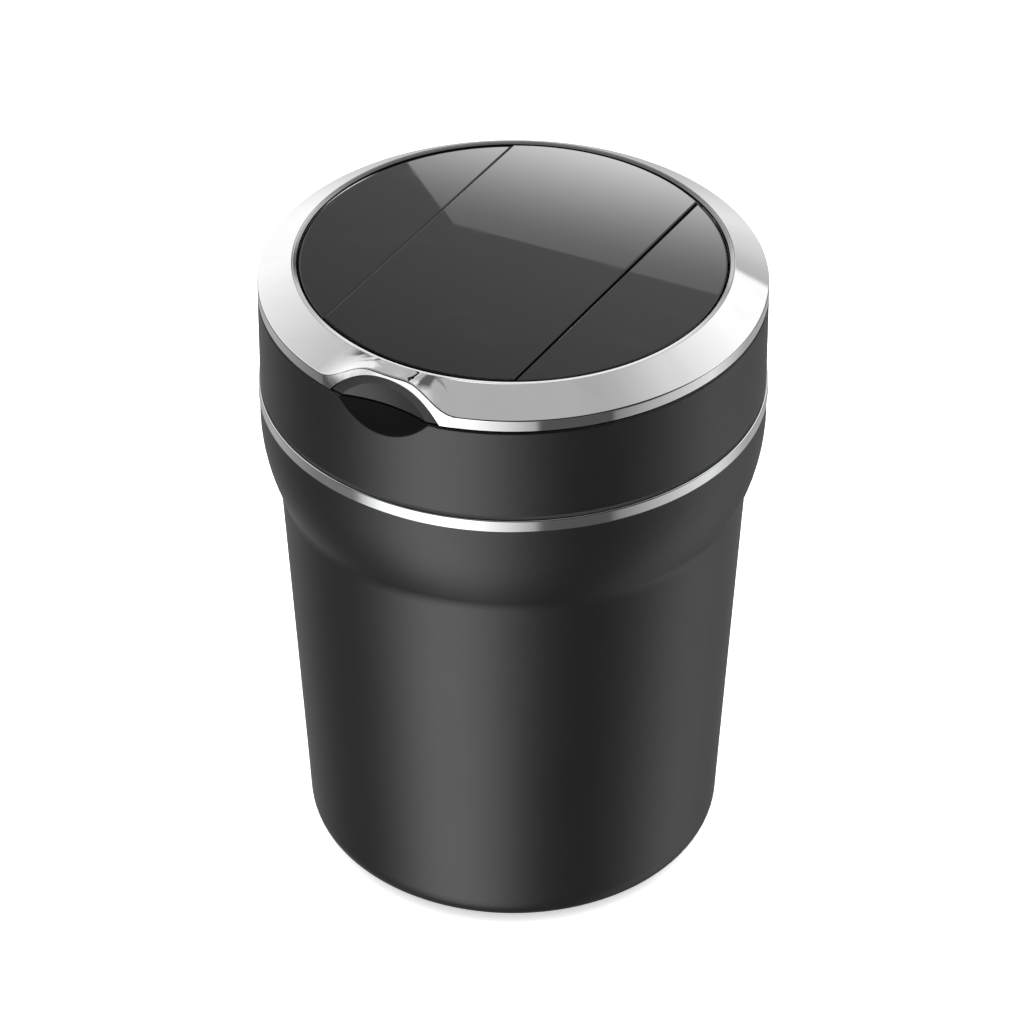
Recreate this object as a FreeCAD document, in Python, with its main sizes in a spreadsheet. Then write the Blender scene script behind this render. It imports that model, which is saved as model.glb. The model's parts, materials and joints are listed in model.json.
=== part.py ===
import FreeCAD, Part
import math
import operator
import os
from types import SimpleNamespace

import Sketcher

V = FreeCAD.Vector
doc = FreeCAD.newDocument("CarAshtray")

# Driving dimensions in millimetres and degrees
# +Z is up, the origin is under the middle of the cup, the thumb notch faces -Y
SIZES = {
    # outer form of the cup
    "rim_radius": 40.0,
    "waist_inset": 2.75,
    "waist_drop": 7.5,
    "waist_round_share": 0.126,
    "foot_inset": 3.95,
    "base_round": 5.1,
    "shoulder_drop": 9.2,
    "shoulder_proud": 0.15,
    "shoulder_round_share": 0.74,
    "cup_height": 84.2,
    # inside of the cup
    "cup_floor": 2.0,
    "cup_wall": 2.45,
    "foot_wall": 2.1,
    "cup_inner_round": 5.0,
    "neck_wall": 2.1,
    "neck_height": 2.0,
    "mouth_depth": 9.9,
    # soft disc under the cup
    "pad_inset": 7.3,
    "pad_thickness": 1.4,
    "pad_proud": 0.6,
    "pad_round": 0.5,
    # chrome trim ring
    "ring_height": 2.1,
    "ring_depth": 1.6,
    "ring_proud": 0.3,
    "ring_round": 0.2,
    # steel liner and its seal
    "liner_wall": 0.6,
    "liner_gap": 0.4,
    "seal_height": 1.0,
    "seal_width": 1.7,
    "seal_round": 0.4,
    # twist lock
    "spigot_wall": 2.5,
    "lug_count": 3,
    "lug_height": 2.2,
    "lug_depth": 1.4,
    "lug_sweep": 14.0,
    "lug_rise": 1.7,
    "lock_angle": 40.0,
    "lock_slack_angle": 1.0,
    "lock_play": 0.4,
    # collar and throat
    "collar_height": 15.9,
    "collar_wall": 2.2,
    "collar_band_depth": 3.8,
    "collar_band_height": 6.0,
    "collar_round": 0.35,
    "throat_drop": 0.3,
    "throat_inset": 9.0,
    "throat_wall": 2.2,
    "throat_plate": 2.3,
    "throat_flange": 2.5,
    "tray_depth_in_throat": 8.2,
    "tray_ledge": 2.0,
    "tray_ledge_height": 1.4,
    # snuffer tray
    "tray_wall": 0.8,
    "tray_bowl_depth": 7.4,
    "tray_floor_inset": 5.5,
    "tray_round": 2.8,
    "snuffer_count": 3,
    "snuffer_radius": 4.7,
    "snuffer_wall": 0.7,
    "snuffer_inset": 8.3,
    "snuffer_bridge": 3.5,
    "snuffer_length": 8.0,
    # lid rim and thumb lip
    "lid_gap": 0.3,
    "band_height": 1.85,
    "bezel_rise": 5.05,
    "bezel_width": 5.6,
    "bezel_wall": 1.4,
    "bezel_lip": 0.7,
    "bezel_lip_drop": 0.85,
    "bezel_inner_drop": 1.95,
    "bezel_edge_round": 0.3,
    "bezel_crest_round": 0.35,
    "lip_height": 5.45,
    "lip_pull": 2.0,
    "lip_thickness": 1.05,
    "lip_slope_share": 0.75,
    "notch_sweep": 35.6,
    "arch_radius": 12.0,
    "arch_height": 4.9,
    "tongue_gap": 0.25,
    "tongue_inset": 0.35,
    "dish_radius": 24.6,
    "dish_reach": 22.4,
    "collar_dish_rise": 10.4,
    "lid_dish_drop": 1.5,
    # lid pan, plug and seal
    "lid_fit": 0.12,
    "pan_plate": 1.6,
    "pan_hollow": 0.2,
    "plug_depth": 4.2,
    "plug_wall": 1.8,
    "plug_gap": 1.8,
    "lid_seal_height": 2.0,
    "lid_seal_depth": 2.1,
    "lid_seal_round": 0.6,
    # gloss panels
    "panel_gap": 0.3,
    "panel_joint": 0.22,
    "centre_half_width": 16.8,
    "centre_thickness": 3.4,
    "side_thickness": 3.15,
    "panel_round": 0.25,
    # hinge
    "hinge_inset": 5.0,
    "hinge_angle": 100.0,
    "hinge_spare_angle": 12.0,
    "knuckle_radius": 2.0,
    "knuckle_gap": 0.3,
    "knuckle_inner": 3.4,
    "knuckle_width": 3.0,
    "pin_radius": 1.0,
    "pin_fit": 0.06,
    "hinge_clearance": 0.35,
    "wire_radius": 0.3,
    "spring_pitch": 1.1,
    "spring_turns": 4,
    # fasteners of the lid
    "screw_count": 4,
    "screw_inset": 4.0,
    "screw_radius": 0.75,
    "screw_head_radius": 1.7,
    "screw_head_height": 0.6,
    "screw_length": 1.7,
    "screw_sink": 0.1,
    "boss_radius": 1.6,
    "boss_length": 1.7,
    # running clearances
    "turn_gap": 0.3,
    "press_gap": 0.05,
}

OPERATIONS = {"+": operator.add, "-": operator.sub, "*": operator.mul, "/": operator.truediv}


class Dim:
    """A size together with the sheet expression that gives it."""

    def __init__(self, number, text):
        self.number = number
        self.text = text

    def __add__(self, other):
        return combine(self, "+", other)

    def __radd__(self, other):
        return combine(other, "+", self)

    def __sub__(self, other):
        return combine(self, "-", other)

    def __rsub__(self, other):
        return combine(other, "-", self)

    def __mul__(self, other):
        return combine(self, "*", other)

    def __rmul__(self, other):
        return combine(other, "*", self)

    def __truediv__(self, other):
        return combine(self, "/", other)

    def __neg__(self):
        return combine(0.0, "-", self)


def as_dim(value):
    """Gives a plain number the form of a size."""
    if isinstance(value, Dim):
        return value
    return Dim(float(value), f"({float(value):.9f})")


def combine(left, sign, right):
    left = as_dim(left)
    right = as_dim(right)
    number = OPERATIONS[sign](left.number, right.number)
    return Dim(number, f"({left.text} {sign} {right.text})")


def root(value):
    """Square root of a size."""
    return Dim(math.sqrt(value.number), f"sqrt({value.text})")


def half_turn(run, rise):
    """Tangent of half the angle by which a slope leaves the vertical."""
    return run / (root(run * run + rise * rise) + rise)


def write_sheet():
    """Fills the sheet of driving dimensions and returns them as sizes."""
    sheet = doc.addObject("Spreadsheet::Sheet", "Sizes")
    sizes = {}
    for row, (name, number) in enumerate(SIZES.items(), start=1):
        sheet.set(f"A{row}", name.replace("_", " "))
        sheet.set(f"B{row}", str(number))
        sheet.setAlias(f"B{row}", name)
        sizes[name] = Dim(float(number), f"Sizes.{name}")
    doc.recompute()
    return SimpleNamespace(**sizes)


size = write_sheet()

# Heights that follow from the stack of cup, ring, head and lid
foot_height = size.pad_proud
recess_top = size.pad_thickness
floor_height = recess_top + size.cup_floor
ring_bottom = size.cup_height
ring_top = ring_bottom + size.ring_height
shoulder_height = ring_bottom - size.shoulder_drop
waist_height = shoulder_height - size.waist_drop
mouth_height = ring_bottom + size.neck_height
ledge_height = ring_bottom - size.mouth_depth
flange_top = ledge_height + size.liner_wall
spigot_bottom = flange_top + size.seal_height + size.turn_gap
lug_bottom = spigot_bottom + size.lug_rise
collar_bottom = ring_top + size.turn_gap
collar_top = collar_bottom + size.collar_height
throat_top = collar_top - size.throat_drop
tray_seat = throat_top - size.tray_depth_in_throat
parting = collar_top + size.lid_gap
crest_height = parting + size.bezel_rise
panel_seat = parting + size.pan_plate

# Radii that follow from the rim
shoulder_radius = size.rim_radius + size.shoulder_proud
waist_radius = size.rim_radius - size.waist_inset
foot_radius = waist_radius - size.foot_inset
pad_radius = foot_radius - size.pad_inset
neck_radius = size.rim_radius - size.ring_depth
mouth_bore = neck_radius - size.neck_wall
ledge_bore = waist_radius - size.cup_wall
inner_foot = foot_radius - size.foot_wall
spigot_radius = mouth_bore - size.lock_play
spigot_bore = spigot_radius - size.spigot_wall
lug_radius = spigot_radius + size.lug_depth
collar_bore = size.rim_radius - size.collar_wall
collar_band_bore = size.rim_radius - size.collar_band_depth
throat_bore = size.rim_radius - size.throat_inset
throat_radius = throat_bore + size.throat_wall
tray_floor_radius = throat_bore - size.tray_floor_inset
snuffer_circle = tray_floor_radius - size.snuffer_inset
ash_hole_radius = snuffer_circle - size.snuffer_radius - size.snuffer_bridge
crest_radius = size.rim_radius - size.bezel_width
bezel_bore = crest_radius - size.bezel_lip
panel_radius = bezel_bore - size.panel_gap
plug_radius = throat_bore - size.plug_gap

# Hinge axis, parallel to X at the back of the parting plane
hinge_y = size.rim_radius - size.hinge_inset
hinge_z = parting
ear_inner = size.knuckle_inner + size.knuckle_width + size.knuckle_gap
ear_outer = ear_inner + size.knuckle_width
bay_radius = size.knuckle_radius + size.knuckle_gap

# The spring's coil lies round the pin, between the two knuckles
spring_half = size.spring_pitch * size.spring_turns / 2.0
coil_radius = size.knuckle_radius - size.wire_radius - size.press_gap

# The bezel's underside starts at its root, and the thumb arch ends behind its wall
bezel_root = crest_radius + size.bezel_lip
arch_back = size.rim_radius - size.bezel_wall - size.lip_pull - size.lid_fit

# The lid's screws go up through the pan into the bezel's bosses
screw_x = (size.rim_radius - size.screw_inset) * math.sqrt(0.5)
screw_seat = parting + size.screw_sink + size.screw_head_height


def bind(target, name, value):
    """Sets a property and ties it to the sheet."""
    value = as_dim(value)
    setattr(target, name, value.number)
    target.setExpression(name, value.text)


def new_body(name):
    return doc.addObject("PartDesign::Body", name)


def origin_feature(body, role):
    return [item for item in body.Origin.OriginFeatures if item.Role == role][0]


def new_sketch(body, name, plane, lift=0.0, turn=0.0):
    """Sketch on an origin plane, lifted along its normal or turned about Z."""
    sketch = body.newObject("Sketcher::SketchObject", name)
    sketch.AttachmentSupport = [(origin_feature(body, plane), "")]
    sketch.MapMode = "FlatFace"
    lift = as_dim(lift)
    turned = FreeCAD.Rotation(V(0, 1, 0), turn)
    sketch.AttachmentOffset = FreeCAD.Placement(V(0, 0, lift.number), turned)
    sketch.setExpression("AttachmentOffset.Base.z", lift.text)
    return sketch


def constrain(sketch, *parts):
    """Adds a constraint; a size at its end is tied to the sheet."""
    value = parts[-1]
    if not isinstance(value, Dim):
        sketch.addConstraint(Sketcher.Constraint(*parts))
        return
    index = sketch.addConstraint(Sketcher.Constraint(*parts[:-1], value.number))
    sketch.setExpression(f"Constraints[{index}]", value.text)


def locate(sketch, geometry, position, x, y):
    """Holds a point at its distances from the sketch's origin."""
    for kind, axis, value in (("DistanceX", -2, as_dim(x)), ("DistanceY", -1, as_dim(y))):
        if abs(value.number) < 1e-9:
            constrain(sketch, "PointOnObject", geometry, position, axis)
        else:
            constrain(sketch, kind, -1, 1, geometry, position, value)


def corner_arc(before, corner, after, radius):
    """Tangent points, centre and turning sense of a rounded corner."""
    arriving = (corner - before).normalize()
    leaving = (after - corner).normalize()
    turn = arriving.getAngle(leaving)
    setback = radius * math.tan(turn / 2)
    sense = math.copysign(1.0, arriving.cross(leaving).z)
    first = corner - arriving * setback
    last = corner + leaving * setback
    centre = first + V(-arriving.y, arriving.x, 0) * (radius * sense)
    return first, last, centre, sense


def outline(sketch, corners):
    """Closed outline through (x, y) corners; a third value rounds the corner."""
    count = len(corners)
    points = [V(as_dim(c[0]).number, as_dim(c[1]).number, 0) for c in corners]
    arcs = {}
    for i, corner in enumerate(corners):
        if len(corner) == 3:
            arcs[i] = corner_arc(points[i - 1], points[i], points[(i + 1) % count], corner[2].number)
    starts = [arcs[i][1] if i in arcs else points[i] for i in range(count)]
    ends = [arcs[i][0] if i in arcs else points[i] for i in range(count)]
    for i in range(count):
        sketch.addGeometry(Part.LineSegment(starts[i], ends[(i + 1) % count]))
    for i, corner in enumerate(corners):
        before = (i - 1) % count
        if i not in arcs:
            constrain(sketch, "Coincident", before, 2, i, 1)
            locate(sketch, i, 1, corner[0], corner[1])
            continue
        first, last, centre, sense = arcs[i]
        circle = Part.Circle(centre, V(0, 0, 1), corner[2].number)
        low, high = (first, last) if sense > 0 else (last, first)
        low_angle = math.atan2(low.y - centre.y, low.x - centre.x)
        high_angle = math.atan2(high.y - centre.y, high.x - centre.x)
        arc = sketch.addGeometry(Part.ArcOfCircle(circle, low_angle, high_angle))
        point = sketch.addGeometry(Part.Point(points[i]), True)
        locate(sketch, point, 1, corner[0], corner[1])
        constrain(sketch, "PointOnObject", point, 1, before)
        constrain(sketch, "PointOnObject", point, 1, i)
        constrain(sketch, "Tangent", before, 2, arc, 1 if sense > 0 else 2)
        constrain(sketch, "Tangent", i, 1, arc, 2 if sense > 0 else 1)
        constrain(sketch, "Radius", arc, corner[2])


def disc(sketch, x, y, radius):
    """Circle about a point."""
    x = as_dim(x)
    y = as_dim(y)
    index = sketch.addGeometry(Part.Circle(V(x.number, y.number, 0), V(0, 0, 1), radius.number))
    locate(sketch, index, 3, x, y)
    constrain(sketch, "Radius", index, radius)


def finish(body, feature):
    """Recomputes and makes the feature the body's result."""
    body.Tip = feature
    doc.recompute()
    return feature


def revolve(body, name, sketch, angle=360.0, kind="Revolution", axis="V_Axis", **options):
    """Turns a sketch about an axis of its own, adding or removing material."""
    feature = body.newObject(f"PartDesign::{kind}", name)
    feature.Profile = sketch
    feature.ReferenceAxis = (sketch, [axis])
    bind(feature, "Angle", angle)
    for option, value in options.items():
        setattr(feature, option, value)
    return finish(body, feature)


def extrude(body, name, sketch, length, kind="Pad", **options):
    """Pads or pockets a sketch."""
    feature = body.newObject(f"PartDesign::{kind}", name)
    feature.Profile = sketch
    for option, value in options.items():
        setattr(feature, option, value)
    bind(feature, "Length", length)
    return finish(body, feature)


def around(body, name, originals, count):
    """Repeats features evenly about Z."""
    feature = body.newObject("PartDesign::PolarPattern", name)
    feature.Originals = originals
    feature.Axis = (origin_feature(body, "Z_Axis"), [""])
    feature.Angle = 360.0
    feature.Occurrences = int(count.number)
    feature.setExpression("Occurrences", count.text)
    return finish(body, feature)


def mirror(body, name, originals):
    """Repeats features on the other side of the YZ plane."""
    feature = body.newObject("PartDesign::Mirrored", name)
    feature.Originals = originals
    feature.MirrorPlane = (origin_feature(body, "YZ_Plane"), [""])
    return finish(body, feature)


def turned_piece(name, corners):
    """Body turned about Z from one half section."""
    body = new_body(name)
    sketch = new_sketch(body, f"{name}_section", "XZ_Plane")
    outline(sketch, corners)
    revolve(body, f"{name}_turned", sketch)
    return body


def cut_dish(body, rise):
    """Spherical scoop for the thumb; both scoops share one circle in the parting plane."""
    ball = body.newObject("PartDesign::SubtractiveSphere", f"{body.Name}_dish")
    bind(ball, "Radius", root(size.dish_radius * size.dish_radius + rise * rise))
    centre_y = -(size.rim_radius + size.dish_reach)
    centre_z = parting + rise
    ball.Placement = FreeCAD.Placement(V(0, centre_y.number, centre_z.number), FreeCAD.Rotation())
    ball.setExpression("Placement.Base.y", centre_y.text)
    ball.setExpression("Placement.Base.z", centre_z.text)
    return finish(body, ball)


def cut_hinge_relief(body):
    """Room for the back of the lid, which dips below the parting plane as it opens."""
    half_length = root(size.rim_radius * size.rim_radius - hinge_y * hinge_y) + size.hinge_clearance
    back = size.hinge_inset
    middle = root(back * back + size.band_height * size.band_height) + size.hinge_clearance
    end = size.band_height + size.hinge_clearance
    rise = middle - end
    radius = (half_length * half_length + rise * rise) / (2.0 * rise)
    sketch = new_sketch(body, f"{body.Name}_relief_outline", "XY_Plane", lift=hinge_z)
    centre = V(0, (hinge_y + middle - radius).number, 0)
    lean = math.asin(half_length.number / radius.number)
    circle = Part.Circle(centre, V(0, 0, 1), radius.number)
    arc = sketch.addGeometry(Part.ArcOfCircle(circle, math.pi / 2 - lean, math.pi / 2 + lean))
    right_top = V(half_length.number, (hinge_y + end).number, 0)
    right_foot = V(half_length.number, hinge_y.number, 0)
    left_top = V(-half_length.number, right_top.y, 0)
    left_foot = V(-half_length.number, right_foot.y, 0)
    left = sketch.addGeometry(Part.LineSegment(left_top, left_foot))
    base = sketch.addGeometry(Part.LineSegment(left_foot, right_foot))
    right = sketch.addGeometry(Part.LineSegment(right_foot, right_top))
    constrain(sketch, "Coincident", arc, 2, left, 1)
    constrain(sketch, "Coincident", left, 2, base, 1)
    constrain(sketch, "Coincident", base, 2, right, 1)
    constrain(sketch, "Coincident", right, 2, arc, 1)
    locate(sketch, base, 1, -half_length, hinge_y)
    locate(sketch, base, 2, half_length, hinge_y)
    locate(sketch, left, 1, -half_length, hinge_y + end)
    locate(sketch, right, 2, half_length, hinge_y + end)
    constrain(sketch, "Radius", arc, radius)
    axis = sketch.addGeometry(Part.LineSegment(left_foot, right_foot), True)
    constrain(sketch, "Coincident", axis, 1, base, 1)
    constrain(sketch, "Coincident", axis, 2, base, 2)
    before = body.Shape.Volume
    swing = size.hinge_angle + size.hinge_spare_angle
    relief = revolve(body, f"{body.Name}_relief", sketch, swing, kind="Groove", axis="Axis0", Reversed=True)
    if body.Shape.Volume >= before:
        raise RuntimeError(f"the hinge relief removed nothing from {body.Name}")
    return relief


def hinge_disc(body, name, radius, lift=0.0):
    """Circle about the hinge axis, drawn across it."""
    sketch = new_sketch(body, name, "YZ_Plane", lift=lift)
    disc(sketch, hinge_y, hinge_z, radius)
    return sketch


def make_cup_shell():
    """Tapered cup with a swelling shoulder, a liner ledge and twist-lock channels."""
    body = new_body("cup_shell")
    section = new_sketch(body, "cup_section", "XZ_Plane")
    recess_radius = pad_radius + size.press_gap
    swell = shoulder_radius - waist_radius
    slope_length = root(swell * swell + size.waist_drop * size.waist_drop)
    shoulder_turn = half_turn(swell, size.waist_drop)
    taper_turn = half_turn(size.foot_inset, waist_height - foot_height)
    waist_turn = (shoulder_turn - taper_turn) / (1.0 + shoulder_turn * taper_turn)
    shoulder_round = slope_length * size.shoulder_round_share / shoulder_turn
    waist_round = slope_length * size.waist_round_share / waist_turn
    outline(section, [
        (0, recess_top),
        (recess_radius, recess_top),
        (recess_radius, foot_height),
        (foot_radius, foot_height, size.base_round),
        (waist_radius, waist_height, waist_round),
        (shoulder_radius, shoulder_height, shoulder_round),
        (shoulder_radius, ring_bottom),
        (neck_radius, ring_bottom),
        (neck_radius, mouth_height),
        (mouth_bore, mouth_height),
        (mouth_bore, ledge_height),
        (ledge_bore, ledge_height),
        (inner_foot, floor_height, size.cup_inner_round),
        (0, floor_height),
    ])
    revolve(body, "cup_turned", section)

    channel_bottom = lug_bottom - size.turn_gap
    channel_top = lug_bottom + size.lug_height + size.turn_gap
    channel_radius = lug_radius + size.lock_play
    inside = mouth_bore - size.lock_play
    channel_sweep = size.lug_sweep + size.lock_slack_angle * 4.0 + size.lock_angle
    channel_start = -(size.lug_sweep / 2.0 + size.lock_slack_angle * 2.0)
    channel = new_sketch(body, "channel_section", "XZ_Plane", turn=channel_start.number)
    outline(channel, [
        (inside, channel_bottom),
        (channel_radius, channel_bottom),
        (channel_radius, channel_top),
        (inside, channel_top),
    ])
    channel_cut = revolve(body, "channel", channel, channel_sweep, kind="Groove")
    entry_sweep = size.lug_sweep + size.lock_slack_angle * 2.0
    entry_start = size.lock_angle - entry_sweep / 2.0
    entry_radius = channel_radius - size.press_gap
    entry_inside = inside - size.press_gap
    entry = new_sketch(body, "entry_section", "XZ_Plane", turn=entry_start.number)
    outline(entry, [
        (entry_inside, lug_bottom + size.lug_height / 2.0),
        (entry_radius, lug_bottom + size.lug_height / 2.0),
        (entry_radius, mouth_height + size.turn_gap),
        (entry_inside, mouth_height + size.turn_gap),
    ])
    entry_cut = revolve(body, "entry", entry, entry_sweep, kind="Groove")
    around(body, "lock_channels", [channel_cut, entry_cut], size.lug_count)
    return body


def make_ash_liner():
    """Thin steel cup that hangs in the shell by its flange."""
    outer_foot = inner_foot - size.liner_gap
    outer_top = ledge_bore - size.liner_gap
    bottom = floor_height + size.liner_gap
    flange = mouth_bore - size.liner_gap
    outer_round = size.cup_inner_round - size.liner_gap
    return turned_piece("ash_liner", [
        (0, bottom),
        (outer_foot, bottom, outer_round),
        (outer_top, ledge_height),
        (flange, ledge_height),
        (flange, flange_top),
        (outer_top - size.liner_wall, flange_top),
        (outer_foot - size.liner_wall, bottom + size.liner_wall, outer_round - size.liner_wall),
        (0, bottom + size.liner_wall),
    ])


def make_base_pad():
    """Soft disc that the cup stands on."""
    return turned_piece("base_pad", [
        (0, 0),
        (pad_radius, 0, size.pad_round),
        (pad_radius, size.pad_thickness),
        (0, size.pad_thickness),
    ])


def make_mouth_seal():
    """Soft ring on the liner's flange."""
    inner = ledge_bore - size.liner_gap - size.liner_wall
    return turned_piece("mouth_seal", [
        (inner, flange_top),
        (inner + size.seal_width, flange_top),
        (inner + size.seal_width, flange_top + size.seal_height, size.seal_round),
        (inner, flange_top + size.seal_height, size.seal_round),
    ])


def make_trim_ring():
    """Chrome ring on the cup's shoulder."""
    inner = neck_radius + size.press_gap
    outer = size.rim_radius + size.ring_proud
    return turned_piece("trim_ring", [
        (inner, ring_bottom),
        (outer, ring_bottom, size.ring_round),
        (outer, ring_top, size.ring_round),
        (inner, ring_top),
    ])


def make_collar():
    """Black band of the head, with the lower half of the thumb dish."""
    band_bottom = collar_top - size.collar_band_height
    slope = size.collar_band_depth - size.collar_wall
    body = turned_piece("collar", [
        (collar_bore, collar_bottom),
        (size.rim_radius, collar_bottom, size.collar_round),
        (size.rim_radius, collar_top, size.collar_round),
        (collar_band_bore, collar_top),
        (collar_band_bore, band_bottom),
        (collar_bore, band_bottom - slope),
    ])
    cut_dish(body, size.collar_dish_rise)
    cut_hinge_relief(body)
    return body


def make_throat():
    """Moulding inside the collar: spigot with lugs, tray ledge, seal bore and hinge ears."""
    body = new_body("throat")
    section = new_sketch(body, "throat_section", "XZ_Plane")
    flange_bottom = mouth_height + size.turn_gap + size.press_gap
    flange_radius = collar_bore - size.press_gap
    plate_bottom = throat_top - size.throat_plate
    plate_radius = collar_band_bore - size.press_gap
    ledge_radius = throat_bore - size.tray_ledge
    ledge_bottom = tray_seat - size.tray_ledge_height
    flare = spigot_bore - throat_bore
    outline(section, [
        (spigot_bore, spigot_bottom),
        (spigot_radius, spigot_bottom),
        (spigot_radius, flange_bottom),
        (flange_radius, flange_bottom),
        (flange_radius, flange_bottom + size.throat_flange),
        (throat_radius, flange_bottom + size.throat_flange),
        (throat_radius, plate_bottom),
        (plate_radius, plate_bottom),
        (plate_radius, throat_top),
        (throat_bore, throat_top),
        (throat_bore, tray_seat),
        (ledge_radius, tray_seat),
        (ledge_radius, ledge_bottom),
        (throat_bore, ledge_bottom - size.tray_ledge),
        (throat_bore, flange_bottom),
        (spigot_bore, flange_bottom - flare),
    ])
    revolve(body, "throat_turned", section)

    lug = new_sketch(body, "lug_section", "XZ_Plane", turn=-size.lug_sweep.number / 2)
    outline(lug, [
        (spigot_radius - size.lock_play, lug_bottom),
        (lug_radius, lug_bottom),
        (lug_radius, lug_bottom + size.lug_height),
        (spigot_radius - size.lock_play, lug_bottom + size.lug_height),
    ])
    lug_turned = revolve(body, "lug", lug, size.lug_sweep)
    around(body, "lugs", [lug_turned], size.lug_count)

    cut_hinge_relief(body)
    bay = hinge_disc(body, "knuckle_bay_outline", bay_radius)
    extrude(body, "knuckle_bay", bay, ear_inner * 2.0, kind="Pocket", SideType="Symmetric")

    ear = hinge_disc(body, "ear_outline", size.knuckle_radius, lift=ear_inner)
    ear_pad = extrude(body, "ear", ear, size.knuckle_width)
    mirror(body, "ears", [ear_pad])
    bore = hinge_disc(body, "ear_bore_outline", size.pin_radius + size.pin_fit / 2.0)
    bore_length = ear_outer * 2.0 + size.knuckle_width
    extrude(body, "ear_bore", bore, bore_length, kind="Pocket", SideType="Symmetric")

    hole = new_sketch(body, "spring_hole_outline", "XY_Plane", lift=throat_top)
    disc(hole, -spring_half, hinge_y - coil_radius, size.wire_radius + size.turn_gap)
    extrude(body, "spring_hole", hole, size.throat_plate, kind="Pocket")
    return body


def make_snuffer_tray():
    """Pressed steel dish with an ash hole and snuffing tubes."""
    flange = throat_bore - size.turn_gap
    bowl_top = throat_bore - size.tray_ledge - size.turn_gap * 2.0
    bottom = tray_seat - size.tray_bowl_depth
    wall = size.tray_wall
    body = turned_piece("snuffer_tray", [
        (0, bottom),
        (tray_floor_radius, bottom, size.tray_round),
        (bowl_top, tray_seat),
        (flange, tray_seat),
        (flange, tray_seat + wall),
        (bowl_top - wall, tray_seat + wall),
        (tray_floor_radius - wall, bottom + wall, size.tray_round - wall),
        (0, bottom + wall),
    ])
    tube = new_sketch(body, "snuffer_tube_outline", "XY_Plane", lift=bottom + wall / 2.0)
    disc(tube, 0, -snuffer_circle, size.snuffer_radius + size.snuffer_wall)
    tube_pad = extrude(body, "snuffer_tube", tube, size.snuffer_length, Reversed=True)
    bore = new_sketch(body, "snuffer_bore_outline", "XY_Plane", lift=bottom + wall * 2.0)
    disc(bore, 0, -snuffer_circle, size.snuffer_radius)
    bore_cut = extrude(body, "snuffer_bore", bore, size.snuffer_length + wall * 4.0, kind="Pocket")
    around(body, "snuffers", [tube_pad, bore_cut], size.snuffer_count)
    ash = new_sketch(body, "ash_hole_outline", "XY_Plane", lift=bottom + wall * 2.0)
    disc(ash, 0, 0, ash_hole_radius)
    extrude(body, "ash_hole", ash, wall * 4.0, kind="Pocket")
    return body


def make_hinge_pin():
    """Pin through the ears and the lid's knuckles."""
    body = new_body("hinge_pin")
    section = hinge_disc(body, "pin_outline", size.pin_radius)
    extrude(body, "pin", section, ear_outer * 2.0, SideType="Symmetric")
    return body


def make_hinge_spring():
    """Torsion spring: a coil round the pin, one leg in the throat and one under the lid."""
    body = new_body("hinge_spring")
    wire_y = hinge_y - coil_radius
    wire = new_sketch(body, "spring_wire", "XY_Plane", lift=hinge_z)
    disc(wire, -spring_half, wire_y, size.wire_radius)
    left = V(-spring_half.number, hinge_y.number, 0)
    right = V(spring_half.number, hinge_y.number, 0)
    axis = wire.addGeometry(Part.LineSegment(left, right), True)
    locate(wire, axis, 1, -spring_half, hinge_y)
    locate(wire, axis, 2, spring_half, hinge_y)
    coil = body.newObject("PartDesign::AdditiveHelix", "spring_coil")
    coil.Profile = wire
    coil.ReferenceAxis = (wire, ["Axis0"])
    coil.Mode = "pitch-turns-angle"
    bind(coil, "Pitch", size.spring_pitch)
    bind(coil, "Turns", size.spring_turns)
    finish(body, coil)
    for name, x, length, down in (
        ("throat_leg", -spring_half, size.throat_plate + size.throat_drop, True),
        ("lid_leg", spring_half, size.pan_plate - size.turn_gap, False),
    ):
        section = new_sketch(body, f"{name}_outline", "XY_Plane", lift=hinge_z)
        disc(section, x, wire_y, size.wire_radius)
        extrude(body, name, section, length, Reversed=down)
    return body


def rim_sections(body, name, section_at):
    """Rim of the lid: turned round the back, lofted through the thumb notch at the front."""
    half = size.notch_sweep.number / 2
    slope = size.lip_slope_share.number
    front = -90.0
    turned = new_sketch(body, f"{name}_section", "XZ_Plane", turn=front + half)
    outline(turned, section_at(as_dim(0.0)))
    revolve(body, f"{name}_turned", turned, 360.0 - size.notch_sweep)
    steps = 16
    sections = []
    for step in range(steps + 1):
        share = 2.0 * step / steps - 1.0
        climb = min(1.0, (1.0 - abs(share)) / slope)
        weight = 0.5 - 0.5 * math.cos(math.pi * climb)
        section = new_sketch(body, f"{name}_lip_{step}", "XZ_Plane", turn=front + share * half)
        outline(section, section_at(as_dim(weight)))
        sections.append(section)
    loft = body.newObject("PartDesign::AdditiveLoft", f"{name}_lip")
    loft.Profile = sections[0]
    loft.Sections = sections[1:]
    return finish(body, loft)


def rim_levels(weight):
    """Radius and heights of the rim; the weight goes from 0 to 1 at the thumb lip."""
    outer = size.rim_radius - size.lip_pull * weight
    edge = parting + size.band_height + (size.lip_height - size.band_height) * weight
    slope = (size.bezel_rise - size.band_height) / size.bezel_width
    shoulder = parting + size.band_height + (slope - 1.0) * size.bezel_wall
    shoulder_lip = parting + size.lip_height - size.lip_thickness
    under = shoulder + (shoulder_lip - shoulder) * weight
    root_height = crest_height - size.bezel_inner_drop
    root_lip = crest_height - size.lip_thickness
    inner = root_height + (root_lip - root_height) * weight
    return SimpleNamespace(outer=outer, wall=outer - size.bezel_wall, edge=edge, under=under, inner=inner)


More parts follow.
